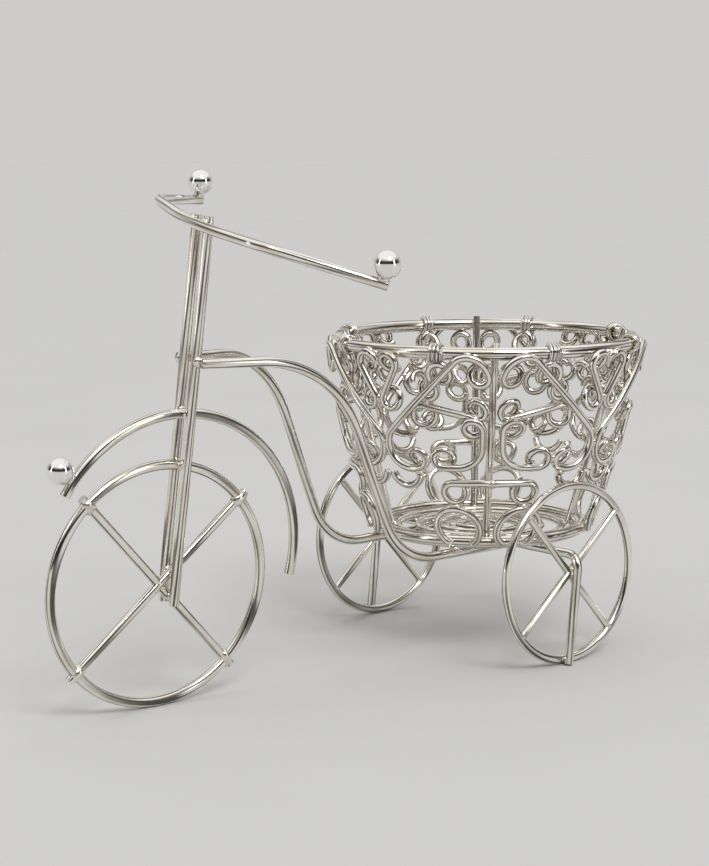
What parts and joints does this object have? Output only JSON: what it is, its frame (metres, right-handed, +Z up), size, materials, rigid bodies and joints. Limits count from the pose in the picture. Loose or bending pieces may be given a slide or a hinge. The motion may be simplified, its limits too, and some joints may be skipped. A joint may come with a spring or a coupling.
{
  "type": "ornamental wire tricycle with basket",
  "caption": "Small ornamental tricycle of welded bright wire with a large front wheel, swept handlebar with ball grips and a round scroll-work basket over the rear wheels.",
  "frame": {"origin": "on the floor, midway between the rear wheels' feet", "axes": "+X forward towards the front wheel, +Y to the rider's left, +Z up"},
  "size_m": [0.22, 0.1143, 0.1534],
  "materials": {
    "bright_wire": "polished",
    "bright_ball": "polished"
  },
  "bodies": {
    "root": {"front_wheel": "bright_wire", "fork_rod_left": "bright_wire", "fork_rod_right": "bright_wire", "handlebar": "bright_wire", "mudguard": "bright_wire", "frame_rail_left": "bright_wire", "frame_rail_right": "bright_wire", "rear_axle": "bright_wire", "rear_wheel_left": "bright_wire", "rear_wheel_right": "bright_wire", "basket_base_ring": "bright_wire", "basket_top_ring": "bright_wire", "basket_floor": "bright_wire", "upright_front_left": "bright_wire", "upright_rear_left": "bright_wire", "upright_rear_right": "bright_wire", "upright_front_right": "bright_wire", "scrolls_left": "bright_wire", "scrolls_rear": "bright_wire", "scrolls_right": "bright_wire", "scrolls_front": "bright_wire", "grip_ball_left": "bright_ball", "grip_ball_right": "bright_ball", "lamp_ball_front": "bright_ball"}
  },
  "joints": []
}
